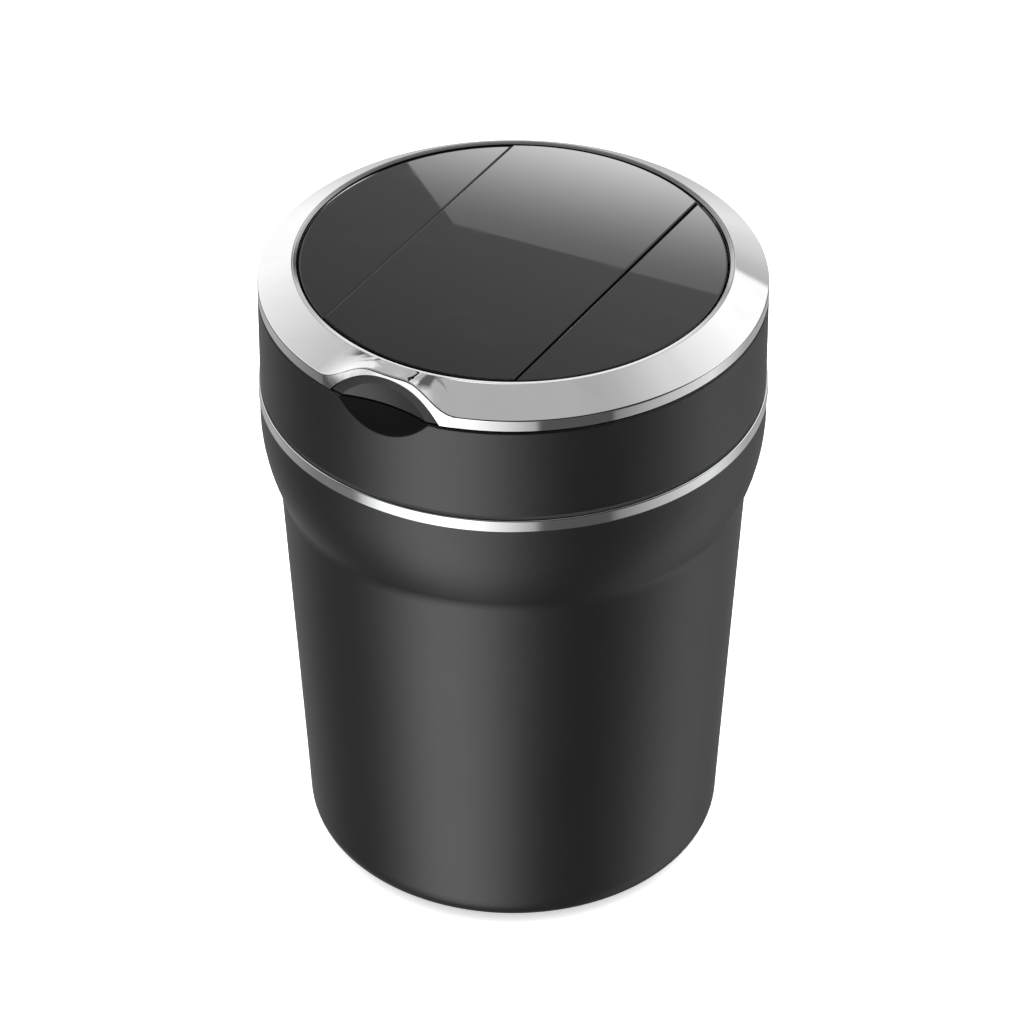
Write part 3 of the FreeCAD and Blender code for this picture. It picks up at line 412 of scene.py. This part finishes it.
def chrome_material(finish):
    """Bright plating with faint polishing lines."""
    material, nodes, shader = new_material("chrome")
    marks = nodes.add("ShaderNodeGroup", node_tree=handling_group())
    marks.inputs["Roughness"].default_value = finish.chrome_roughness
    marks.inputs["Smear"].default_value = finish.chrome_smear
    lines = nodes.add("ShaderNodeGroup", node_tree=turning_group())
    lines.inputs["Lines"].default_value = 6000.0
    tone = tuple(finish.chrome_colour)
    tones = two_tones(nodes, marks.outputs["Mask"], tone, scaled(tone, 0.97))
    nodes.feed(shader.inputs["Base Color"], tones)
    nodes.feed(shader.inputs["Roughness"], marks.outputs["Roughness"])
    shader.inputs["Metallic"].default_value = 1.0
    relief(nodes, shader, lines.outputs["Height"], distance=0.0000015)
    return material


def steel_material(name, colour, roughness, change):
    """Drawn steel with lines round the axis."""
    material, nodes, shader = new_material(name)
    lines = nodes.add("ShaderNodeGroup", node_tree=turning_group())
    lines.inputs["Roughness"].default_value = roughness
    lines.inputs["Change"].default_value = change
    tones = two_tones(nodes, lines.outputs["Height"], scaled(colour, 0.85), scaled(colour, 1.1))
    nodes.feed(shader.inputs["Base Color"], tones)
    nodes.feed(shader.inputs["Roughness"], lines.outputs["Roughness"])
    shader.inputs["Metallic"].default_value = 1.0
    relief(nodes, shader, lines.outputs["Height"], distance=0.00001)
    return material


def paint_dish_shade(material, shader, finish):
    """Paints shade into the thumb dish: a low specular and a flat tone keep it dull and dark, so that it
    reads as a hollow.
    """
    nodes = NodeTree(material.node_tree)
    place = nodes.add("ShaderNodeTexCoord").outputs["Object"]
    reach = nodes.add("ShaderNodeVectorMath", {0: place, 1: tuple(finish.dish_centre)},
                      operation="DISTANCE")
    # Mask of the thumb dish, where shade is painted by a low specular and a flat tone.
    inside = nodes.math("COMPARE", reach.outputs["Value"], finish.dish_radius, finish.dish_margin)
    specular = nodes.mix(inside, finish.satin_specular, finish.dish_shade_specular)
    nodes.feed(shader.inputs["Specular IOR Level"], specular)
    socket = shader.inputs["Base Color"]
    shade = nodes.add("ShaderNodeMix", data_type="RGBA")
    nodes.feed(shade.inputs["Factor"], inside)
    nodes.feed(shade.inputs["A"], socket.links[0].from_socket)
    shade.inputs["B"].default_value = (*scaled(finish.satin_colour, finish.dish_shade_tone), 1.0)
    nodes.feed(socket, shade.outputs["Result"])


def dress(material, *names):
    """Gives CAD nodes their finish."""
    for name in names:
        mesh = NODES[name].data
        mesh.materials.clear()
        mesh.materials.append(material)


def tube_mesh(name, path, radius, sides=14):
    """Closed round tube along a path of points."""
    model = bmesh.new()
    rings = []
    side = Vector((1.0, 0.0, 0.0))
    for index, point in enumerate(path):
        before = path[max(index - 1, 0)]
        after = path[min(index + 1, len(path) - 1)]
        forward = (after - before).normalized()
        side = (side - forward * side.dot(forward)).normalized()
        upward = forward.cross(side)
        ring = []
        for step in range(sides):
            angle = 2 * math.pi * step / sides
            offset = side * math.cos(angle) + upward * math.sin(angle)
            ring.append(model.verts.new(point + offset * radius))
        rings.append(ring)
    for lower, upper in zip(rings, rings[1:]):
        for step in range(sides):
            following = (step + 1) % sides
            model.faces.new((lower[step], lower[following], upper[following], upper[step]))
    model.faces.new(list(reversed(rings[0])))
    model.faces.new(rings[-1])
    for face in model.faces:
        face.smooth = True
    return add_object(name, model)


def lathe(model, centre, profile, sides=40):
    """Rings of vertices round an upright axis, joined from one to the next."""
    rings = []
    for radius, height in profile:
        ring = []
        for step in range(sides):
            angle = 2 * math.pi * step / sides
            spot = (centre[0] + radius * math.cos(angle), centre[1] + radius * math.sin(angle), height)
            ring.append(model.verts.new(spot))
        rings.append(ring)
    for lower, upper in zip(rings, rings[1:]):
        for step in range(sides):
            following = (step + 1) % sides
            model.faces.new((lower[step], lower[following], upper[following], upper[step]))
    return rings


def loop_edges(model, ring):
    """Edges of a closed ring of vertices."""
    edges = []
    for first, second in zip(ring, ring[1:] + ring[:1]):
        edges.append(model.edges.get((first, second)) or model.edges.new((first, second)))
    return edges


def add_screw(model, centre, face, spring):
    """Screw with its head down and a cross recess in it."""
    radius = spring.screw_head_radius
    rings = lathe(model, centre, [
        (radius * spring.screw_flat_share, face),
        (radius, face + spring.screw_edge),
        (radius, face + spring.screw_head_height),
        (spring.screw_radius, face + spring.screw_head_height),
        (spring.screw_radius, face + spring.screw_length),
    ])
    model.faces.new(rings[-1])
    arm = radius * spring.recess_reach
    half = radius * spring.recess_half
    corners = []
    for turn in range(4):
        ahead = Vector((math.cos(turn * math.pi / 2), math.sin(turn * math.pi / 2)))
        across = Vector((-ahead.y, ahead.x))
        corners += [ahead * arm - across * half, ahead * arm + across * half, ahead * half + across * half]
    cross = [model.verts.new((centre[0] + c.x, centre[1] + c.y, face)) for c in corners]
    deep = [model.verts.new((v.co.x, v.co.y, face + spring.recess_depth)) for v in cross]
    for step in range(len(cross)):
        following = (step + 1) % len(cross)
        model.faces.new((cross[step], cross[following], deep[following], deep[step]))
    model.faces.new(deep)
    edges = loop_edges(model, rings[0]) + loop_edges(model, cross)
    bmesh.ops.triangle_fill(model, use_beauty=True, edges=edges)


def rounded(centre, first, second, steps=6):
    """Points of a quarter round, from one radius to the next about its centre."""
    points = []
    for step in range(steps + 1):
        angle = math.pi / 2 * step / steps
        points.append((
            centre[0] + first[0] * math.cos(angle) + second[0] * math.sin(angle),
            centre[1] + first[1] * math.cos(angle) + second[1] * math.sin(angle),
        ))
    return points


def turn_piece(name, profile, sides, material, body):
    """Closed ring turned from a profile of radius and height, fixed to a body."""
    model = bmesh.new()
    lathe(model, (0.0, 0.0), profile + profile[:1], sides)
    bmesh.ops.remove_doubles(model, verts=model.verts, dist=MERGE_DISTANCE)
    for face in model.faces:
        face.smooth = True
    piece = add_object(name, model)
    piece.data.set_sharp_from_angle(angle=SHARP_ANGLE)
    piece.data.materials.append(material)
    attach(piece, body)
    return piece


def add_object(name, model):
    """Turns a finished mesh model into an object of the scene."""
    bmesh.ops.recalc_face_normals(model, faces=model.faces)
    mesh = bpy.data.meshes.new(name)
    model.to_mesh(mesh)
    model.free()
    piece = bpy.data.objects.new(name, mesh)
    bpy.context.scene.collection.objects.link(piece)
    return piece


class ASHTRAY_OT_finish_shell(Operator):
    """Gives the cup and the collar their satin black finish"""

    bl_idname = "ashtray.finish_shell"
    bl_label = "Finish the cup and the collar"

    def execute(self, context):
        finish = context.scene.ashtray_finish
        material, shader = moulded_material(
            "satin_black", tuple(finish.satin_colour), finish.satin_roughness,
            grain_scale=5200.0, depth=0.000012, change=0.05)
        # Paints shade into the collar's thumb dish.
        paint_dish_shade(material, shader, finish)
        dress(material, "cup_shell", "collar")
        return {"FINISHED"}


class ASHTRAY_OT_finish_inside(Operator):
    """Gives the throat and the lid's pan their inner finish"""

    bl_idname = "ashtray.finish_inside"
    bl_label = "Finish the inner mouldings"

    def execute(self, context):
        finish = context.scene.ashtray_finish
        material, shader = moulded_material(
            "inner_black", tuple(finish.inner_colour), roughness=0.42,
            grain_scale=3600.0, depth=0.00002, change=0.08)
        shader.inputs["Specular IOR Level"].default_value = 0.5
        dress(material, "throat", "lid_pan")
        return {"FINISHED"}


class ASHTRAY_OT_finish_panels(Operator):
    """Gives the lid's panels their polished black"""

    bl_idname = "ashtray.finish_panels"
    bl_label = "Finish the lid's panels"

    def execute(self, context):
        material = gloss_material(context.scene.ashtray_finish)
        dress(material, *PANELS)
        return {"FINISHED"}


class ASHTRAY_OT_finish_chrome(Operator):
    """Plates the bezel and the trim ring"""

    bl_idname = "ashtray.finish_chrome"
    bl_label = "Finish the plated trim"

    def execute(self, context):
        dress(chrome_material(context.scene.ashtray_finish), "lid_bezel", "trim_ring")
        return {"FINISHED"}


class ASHTRAY_OT_finish_steel(Operator):
    """Gives the liner and the snuffer tray the look of drawn steel"""

    bl_idname = "ashtray.finish_steel"
    bl_label = "Finish the drawn steel"

    def execute(self, context):
        colour = tuple(context.scene.ashtray_finish.steel_colour)
        material = steel_material("drawn_steel", colour, roughness=0.3, change=0.2)
        dress(material, "ash_liner", "snuffer_tray")
        return {"FINISHED"}


class ASHTRAY_OT_finish_rubber(Operator):
    """Gives the pad and the seals their soft finish"""

    bl_idname = "ashtray.finish_rubber"
    bl_label = "Finish the soft pieces"

    def execute(self, context):
        colour = tuple(context.scene.ashtray_finish.rubber_colour)
        material, shader = moulded_material(
            "soft_black", colour, roughness=0.72, grain_scale=2600.0, depth=0.00004, change=0.12)
        shader.inputs["Specular IOR Level"].default_value = 0.35
        dress(material, "base_pad", "mouth_seal", "lid_seal")
        return {"FINISHED"}


class ASHTRAY_OT_make_hinge(Operator):
    """Winds the hinge spring, finishes the pin and drives the screws"""

    bl_idname = "ashtray.make_hinge"
    bl_label = "Make the hinge and the screws"

    def execute(self, context):
        spring = context.scene.ashtray_spring
        colour = tuple(context.scene.ashtray_finish.hardware_colour)
        material = steel_material("hardware_steel", colour, roughness=0.34, change=0.15)
        piece = tube_mesh("hinge_spring_wire", self.spring_path(spring), spring.wire_radius)
        piece.data.materials.append(material)
        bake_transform(piece)
        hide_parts("hinge_spring")
        dress(material, "hinge_pin")
        self.drive_screws(spring, material)
        return {"FINISHED"}

    def spring_path(self, spring):
        """Middle of the wire: the throat's leg, the coil, then the lid's leg."""
        start = HINGE_POINT.x - spring.coil_length / 2
        points = []
        for step in range(SPRING_LEG_STEPS):
            drop = spring.throat_leg * (1 - step / SPRING_LEG_STEPS)
            points.append(Vector((start, HINGE_POINT.y - spring.coil_radius, HINGE_POINT.z - drop)))
        steps = spring.turns * SPRING_TURN_STEPS
        for step in range(steps + 1):
            angle = 2 * math.pi * spring.turns * step / steps
            points.append(Vector((
                start + spring.coil_length * step / steps,
                HINGE_POINT.y - spring.coil_radius * math.cos(angle),
                HINGE_POINT.z + spring.coil_radius * math.sin(angle),
            )))
        foot = points[-1]
        for step in range(1, SPRING_LEG_STEPS):
            points.append(foot + Vector((0, 0, spring.lid_leg * step / (SPRING_LEG_STEPS - 1))))
        return points

    def drive_screws(self, spring, material):
        """Four screws with cross recesses under the lid."""
        low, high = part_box("lid_screws")
        reach = high[0] - spring.screw_head_radius
        model = bmesh.new()
        for x in (-reach, reach):
            for y in (-reach, reach):
                add_screw(model, (x, y), low[2], spring)
        piece = add_object("lid_cross_screws", model)
        piece.data.materials.append(material)
        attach(piece, "lid")
        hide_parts("lid_screws")


class ASHTRAY_OT_turn_trim(Operator):
    """Turns the trim ring, the strip above it and the land on the bezel's crest"""

    bl_idname = "ashtray.turn_trim"
    bl_label = "Turn the trim"

    def execute(self, context):
        trim = context.scene.ashtray_trim
        chrome = bpy.data.materials["chrome"]
        self.turn_ring(trim, chrome)
        self.turn_skirt(trim, bpy.data.materials["satin_black"])
        self.turn_crest(trim, chrome)
        return {"FINISHED"}

    def turn_ring(self, trim, material):
        """Trim ring with a flat face and rounded edges."""
        low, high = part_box("trim_ring")
        face = high[0]
        bore = face - trim.ring_depth
        curve = trim.ring_round
        outward, upward, downward = (curve, 0.0), (0.0, curve), (0.0, -curve)
        profile = [(bore, low[2])]
        profile += rounded((face - curve, low[2] + curve), downward, outward)
        profile.append((face, low[2] + curve + trim.flat_margin))
        profile.append((face, high[2] - curve - trim.flat_margin))
        profile += rounded((face - curve, high[2] - curve), outward, upward)
        profile.append((bore, high[2]))
        piece = turn_piece("turned_trim_ring", profile, trim.sides, material, "cup")
        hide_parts("trim_ring")

    def turn_skirt(self, trim, material):
        """Thin strip that closes the seam between the collar and the trim ring."""
        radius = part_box("collar")[1][0] - trim.skirt_inset
        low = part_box("trim_ring")[1][2] + trim.skirt_gap
        high = low + trim.skirt_height
        inner = radius - trim.skirt_depth
        profile = [(inner, low), (radius, low), (radius, high), (inner, low + trim.skirt_depth)]
        turn_piece("collar_skirt", profile, trim.sides, material, "head")

    def turn_crest(self, trim, material):
        """Narrow bright land on the bezel's crest, which slopes down towards the panels."""
        inner = trim.crest_radius
        outer = inner + trim.crest_width
        low = trim.crest_height
        high = low + trim.crest_width * math.tan(trim.crest_tilt)
        base = low - trim.crest_depth
        profile = [(inner, base), (outer, base), (outer, high), (inner, low)]
        turn_piece("bezel_crest", profile, trim.sides, material, "lid")


class ASHTRAY_OT_build_stage(Operator):
    """Builds the floor, the studio light and the camera"""

    bl_idname = "ashtray.build_stage"
    bl_label = "Build the stage"

    def execute(self, context):
        stage = context.scene.ashtray_stage
        self.lay_floor(stage)
        self.light_dome(context.scene, stage)
        self.hang_lights(stage)
        self.stand_box(stage)
        self.place_camera(context.scene, stage)
        return {"FINISHED"}

    def lay_floor(self, stage):
        """Wide pale floor that bright surfaces do not mirror."""
        model = bmesh.new()
        bmesh.ops.create_grid(model, x_segments=1, y_segments=1, size=stage.floor_reach)
        mesh = bpy.data.meshes.new("floor")
        model.to_mesh(mesh)
        model.free()
        floor = bpy.data.objects.new("floor", mesh)
        bpy.context.scene.collection.objects.link(floor)
        floor.visible_glossy = False
        floor.visible_shadow = False
        material, nodes, shader = new_material("pale_floor")
        grain = nodes.add("ShaderNodeTexNoise", {"Scale": 30.0, "Detail": 3.0})
        colour = tuple(stage.floor_colour)
        tones = two_tones(nodes, grain.outputs["Fac"], scaled(colour, 0.99), colour)
        nodes.feed(shader.inputs["Base Color"], tones)
        shader.inputs["Roughness"].default_value = 0.9
        shader.inputs["Emission Color"].default_value = (1.0, 1.0, 1.0, 1.0)
        shader.inputs["Emission Strength"].default_value = stage.floor_glow
        mesh.materials.append(material)

    def light_dome(self, scene, stage):
        """World of the studio: a grey dome, and light and dark bands round the foot."""
        world = bpy.data.worlds.new("studio")
        world.use_nodes = True
        world.node_tree.nodes.clear()
        nodes = NodeTree(world.node_tree)
        toward = nodes.add("ShaderNodeTexCoord").outputs["Generated"]
        parts = nodes.add("ShaderNodeSeparateXYZ", {"Vector": toward}).outputs
        turn = nodes.math("ARCTAN2", parts["X"], nodes.math("MULTIPLY", parts["Y"], -1.0))
        relative = nodes.math("SUBTRACT", turn, stage.azimuth)
        around = nodes.math("DEGREES", nodes.math("WRAP", relative, math.pi, -math.pi))
        rise = nodes.math("DEGREES", nodes.math("ARCSINE", parts["Z"]))

        dome = self.add_dome(nodes, stage, around, rise)
        dome = self.add_back_light(nodes, stage, relative, around, rise, dome)
        trim = self.add_bands(nodes, around, TRIM_BANDS)
        walls = self.add_bands(nodes, around, WALL_BANDS)
        from_trim = nodes.math("ABSOLUTE", nodes.math("ADD", rise, 35.0))
        low = nodes.mix(nodes.spread(from_trim, 4.0, 2.5), walls, trim)
        level = nodes.mix(nodes.spread(rise, -26.0, 0.0, smooth=True), low, dome)
        level = nodes.product(level, nodes.spread(rise, -75.0, -46.0, 0.1, 1.0))
        light = nodes.add("ShaderNodeBackground", {"Color": level, "Strength": stage.sky_strength})
        nodes.add("ShaderNodeOutputWorld", {"Surface": light.outputs[0]})
        scene.world = world
        scene.view_settings.view_transform = "Standard"

    # In these fields around is in degrees from the camera's side, positive to its right,
    # rise is in degrees above the horizon, and the last two numbers of a spread are levels.

    def add_dome(self, nodes, stage, around, rise):
        """Dome that grows lighter down its sides and is dark on the camera's side."""
        left = nodes.spread(rise, 52.0, 13.0, 0.54, 1.12)
        right = nodes.spread(rise, 68.0, 36.0, 0.53, 1.15)
        screen = nodes.spread(rise, 17.0, 0.0, 0.5, 0.88)
        right = nodes.mix(nodes.spread(rise, 17.0, 18.4), screen, right)
        dome = nodes.mix(nodes.spread(around, -20.0, 20.0), left, right)
        dome = nodes.mix(nodes.spread(rise, 58.0, 82.0), dome, stage.crown_level)
        away = nodes.math("ABSOLUTE", around)
        facing = nodes.product(nodes.spread(away, 100.0, 75.0, smooth=True),
                               nodes.spread(rise, 78.0, 60.0, smooth=True))
        return nodes.mix(facing, dome, stage.front_level)

    def add_back_light(self, nodes, stage, relative, around, rise, dome):
        """Light behind the ashtray for the panels and the crest, and the fields beside it."""
        away = nodes.math("ABSOLUTE", around)
        behind = nodes.product(nodes.spread(away, 150.0, 170.0, smooth=True),
                               nodes.spread(rise, 4.0, 10.0, smooth=True))
        lip = nodes.math("MAXIMUM", nodes.spread(rise, 23.0, 21.0, 0.5, 1.0),
                         nodes.spread(rise, 25.5, 28.0, 0.5, 1.0))
        swing = nodes.spread(nodes.math("SINE", relative), -0.04, 0.04, 0.66, 1.1)
        swing = nodes.mix(nodes.spread(rise, 28.5, 30.0), 1.0, swing)
        glow = nodes.product(lip, nodes.spread(rise, 34.6, 31.4, 0.45, 1.0), swing)
        dome = nodes.mix(behind, dome, glow)
        over = nodes.product(nodes.spread(away, 125.0, 150.0, smooth=True),
                             nodes.spread(rise, 40.0, 45.0), nodes.spread(rise, 68.0, 62.0))
        dome = nodes.mix(over, dome, stage.over_level)
        sides = nodes.product(nodes.spread(away, 152.0, 138.0, smooth=True),
                              nodes.spread(rise, 16.0, 2.0, smooth=True))
        dome = nodes.mix(sides, dome, stage.side_level)
        strip = nodes.product(nodes.spread(around, -70.0, -60.0), nodes.spread(around, -10.0, -18.0),
                              nodes.spread(rise, 16.0, 10.0))
        return nodes.mix(strip, dome, stage.strip_level)

    def add_bands(self, nodes, around, bands):
        """Brightness round the horizon, by degrees from the camera's side."""
        node = nodes.add("ShaderNodeValToRGB", {"Fac": nodes.spread(around, -180.0, 180.0)})
        ramp = node.color_ramp
        while len(ramp.elements) > 1:
            ramp.elements.remove(ramp.elements[-1])
        for index, (degrees, level) in enumerate(bands):
            position = (degrees + 180.0) / 360.0
            if index == 0:
                element = ramp.elements[0]
                element.position = position
            else:
                element = ramp.elements.new(position)
            element.color = (level, level, level, 1.0)
        return node.outputs["Color"]

    def aim(self, item, target):
        """Turns an item to look at a point."""
        item.rotation_euler = (Vector(target) - item.location).to_track_quat("-Z", "Y").to_euler()

    def hang_lights(self, stage):
        """Broad overhead light that bright surfaces do not mirror."""
        data = bpy.data.lights.new("overhead", "AREA")
        data.shape = "DISK"
        data.size = stage.key_size
        data.energy = stage.key_power
        lamp = bpy.data.objects.new("overhead", data)
        lamp.location = (0.0, 0.0, stage.key_height)
        lamp.visible_glossy = False
        bpy.context.scene.collection.objects.link(lamp)

    def stand_box(self, stage):
        """Sloping light box behind the ashtray, which only the lid's panels mirror."""
        width = stage.box_width
        depth = stage.box_depth
        corners = [(0, 0, 0), (-stage.box_flare * depth, -depth, 0), (width, -depth, 0), (width, 0, 0)]
        mesh = bpy.data.meshes.new("light_box")
        mesh.from_pydata(corners, [], [range(len(corners))])
        box = bpy.data.objects.new("light_box", mesh)
        bpy.context.scene.collection.objects.link(box)
        box.matrix_world = (
            Matrix.Rotation(stage.azimuth, 4, "Z")
            @ Matrix.Translation((-stage.box_offset, stage.box_distance, stage.box_height))
            @ Matrix.Rotation(math.radians(90.0), 4, "X")
            @ Matrix.Rotation(stage.box_slope, 4, "Z")
        )
        for ray in ("camera", "diffuse", "shadow", "transmission"):
            setattr(box, f"visible_{ray}", False)
        lit = bpy.data.collections.new("box_lit_panels")
        for name in PANELS:
            lit.objects.link(NODES[name])
        box.light_linking.receiver_collection = lit
        material = bpy.data.materials.new("light_box")
        material.use_nodes = True
        material.node_tree.nodes.clear()
        nodes = NodeTree(material.node_tree)
        place = nodes.add("ShaderNodeTexCoord").outputs["Object"]
        across = nodes.add("ShaderNodeSeparateXYZ", {"Vector": place}).outputs["Y"]
        faded = nodes.spread(across, 0.0, -stage.box_fade)
        depth_share = nodes.math("POWER", faded, stage.box_fade_power)
        glow = nodes.spread(depth_share, 0.0, 1.0, stage.box_rim_glow, stage.box_glow)
        light = nodes.add("ShaderNodeEmission", {"Strength": glow})
        nodes.add("ShaderNodeOutputMaterial", {"Surface": light.outputs[0]})
        mesh.materials.append(material)

    def place_camera(self, scene, stage):
        """Camera of the photograph."""
        data = bpy.data.cameras.new("camera")
        data.lens = stage.lens
        data.sensor_width = SENSOR_WIDTH_MM
        data.shift_x = stage.shift
        data.dof.use_dof = False
        data.clip_start = 0.05
        camera = bpy.data.objects.new("camera", data)
        scene.collection.objects.link(camera)
        target = Vector((0, 0, stage.target_height))
        level = math.cos(stage.elevation)
        camera.location = target + stage.distance * Vector((
            math.sin(stage.azimuth) * level,
            -math.cos(stage.azimuth) * level,
            math.sin(stage.elevation),
        ))
        self.aim(camera, target)
        scene.camera = camera


OPERATORS = (
    ASHTRAY_OT_finish_shell,
    ASHTRAY_OT_finish_inside,
    ASHTRAY_OT_finish_panels,
    ASHTRAY_OT_finish_chrome,
    ASHTRAY_OT_finish_steel,
    ASHTRAY_OT_finish_rubber,
    ASHTRAY_OT_make_hinge,
    ASHTRAY_OT_turn_trim,
    ASHTRAY_OT_build_stage,
)
GROUPS = {
    "ashtray_finish": AshtrayFinish,
    "ashtray_spring": AshtraySpring,
    "ashtray_trim": AshtrayTrim,
    "ashtray_stage": AshtrayStage,
}


class ASHTRAY_PT_panel(Panel):
    """Lists the steps that finish the ashtray"""

    bl_idname = "ASHTRAY_PT_panel"
    bl_label = "Car ashtray"
    bl_space_type = "VIEW_3D"
    bl_region_type = "UI"
    bl_category = "Ashtray"

    def draw(self, context):
        column = self.layout.column()
        for operator in OPERATORS:
            column.operator(operator.bl_idname)
        for name in GROUPS:
            settings = getattr(context.scene, name)
            box = column.box()
            for key in settings.__annotations__:
                box.prop(settings, key)


CLASSES = (*GROUPS.values(), *OPERATORS, ASHTRAY_PT_panel)


def register():
    for cls in CLASSES:
        bpy.utils.register_class(cls)
    for name, group in GROUPS.items():
        setattr(bpy.types.Scene, name, PointerProperty(type=group))


def unregister():
    for name in GROUPS:
        delattr(bpy.types.Scene, name)
    for cls in reversed(CLASSES):
        bpy.utils.unregister_class(cls)


def main():
    register()
    for operator in OPERATORS:
        area, call = operator.bl_idname.split(".")
        getattr(getattr(bpy.ops, area), call)()


if __name__ == "__main__":
    main()
